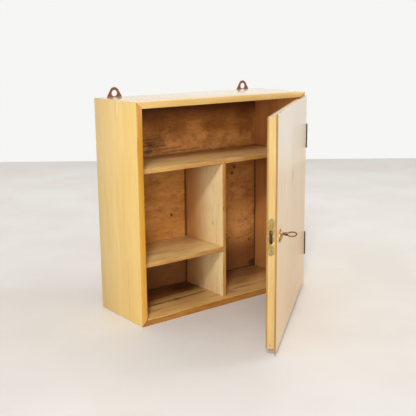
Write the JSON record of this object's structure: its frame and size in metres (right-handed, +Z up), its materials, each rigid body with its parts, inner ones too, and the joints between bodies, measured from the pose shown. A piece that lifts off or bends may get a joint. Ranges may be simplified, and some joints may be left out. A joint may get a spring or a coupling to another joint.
{
  "type": "medicine cabinet",
  "caption": "Mitred wooden wall cabinet with shelves, a divider, hanging eyes and a lipped hinged door whose mortise lock has a key that throws its bolt.",
  "frame": {"origin": "middle of the carcass's base, on the surface that it stands on", "axes": "+Z up, -Y out of the front, +Y to the wall behind it, +X to the hinge side"},
  "size_m": [0.4503, 0.4424, 0.47],
  "materials": {
    "varnished_pine": "aged glossy varnish",
    "dark_plywood": "stained, dull varnish",
    "shelf_plywood": "worn varnish",
    "door_veneer": "aged glossy varnish",
    "door_frame_wood": "aged glossy varnish",
    "rusted_steel": "rusted",
    "hinge_steel": "dark patina",
    "bright_steel": "worn",
    "aged_brass": "aged, dull"
  },
  "bodies": {
    "carcass": {"left_side_panel": "varnished_pine", "right_side_panel": "varnished_pine", "top_panel": "varnished_pine", "bottom_panel": "varnished_pine", "mitre_tongues": "varnished_pine", "back_panel": "dark_plywood", "back_panel_nails": "rusted_steel", "upper_shelf": "shelf_plywood", "lower_shelf": "shelf_plywood", "divider": "shelf_plywood", "left_hanger": "rusted_steel", "right_hanger": "rusted_steel", "hanger_screws": "rusted_steel", "strike_plate": "bright_steel", "strike_screws": "bright_steel", "upper_hinge_carcass_leaf": "hinge_steel", "lower_hinge_carcass_leaf": "hinge_steel", "upper_hinge_pin": "hinge_steel", "lower_hinge_pin": "hinge_steel", "hinge_carcass_screws": "bright_steel"},
    "door": {"door_face_panel": "door_veneer", "door_inner_panel": "door_veneer", "door_lock_stile": "door_frame_wood", "door_hinge_stile": "door_frame_wood", "door_top_rail": "door_frame_wood", "door_bottom_rail": "door_frame_wood", "upper_hinge_door_leaf": "hinge_steel", "lower_hinge_door_leaf": "hinge_steel", "hinge_door_screws": "bright_steel", "lock_faceplate": "aged_brass", "faceplate_screws": "bright_steel", "lock_case": "bright_steel", "lock_cap": "bright_steel", "bolt_spring": "bright_steel", "escutcheon": "aged_brass", "escutcheon_pins": "aged_brass"},
    "bolt": {"lock_bolt": "bright_steel"},
    "key": {"key": "aged_brass"}
  },
  "joints": [
    {"name": "door_swing", "type": "hinge", "parent": "carcass", "child": "door", "pos_m": [0.2253, -0.0838, 0.225], "axis": [0, 0, 1], "range_deg": [-38.8, 141.2]},
    {"name": "key_turn", "type": "hinge", "parent": "door", "child": "key", "pos_m": [-0.08862, -0.3362, 0.224], "axis": [0.6266, -0.7793, 0], "range_deg": [0, 152]},
    {"name": "bolt_throw", "type": "slide", "parent": "door", "child": "bolt", "axis": [-0.7793, -0.6266, 0], "range_m": [0, 0.009]}
  ],
  "couplings": [
    {"joint": "key_turn", "follows": "bolt_throw", "rad_per_m": 294.77}
  ]
}
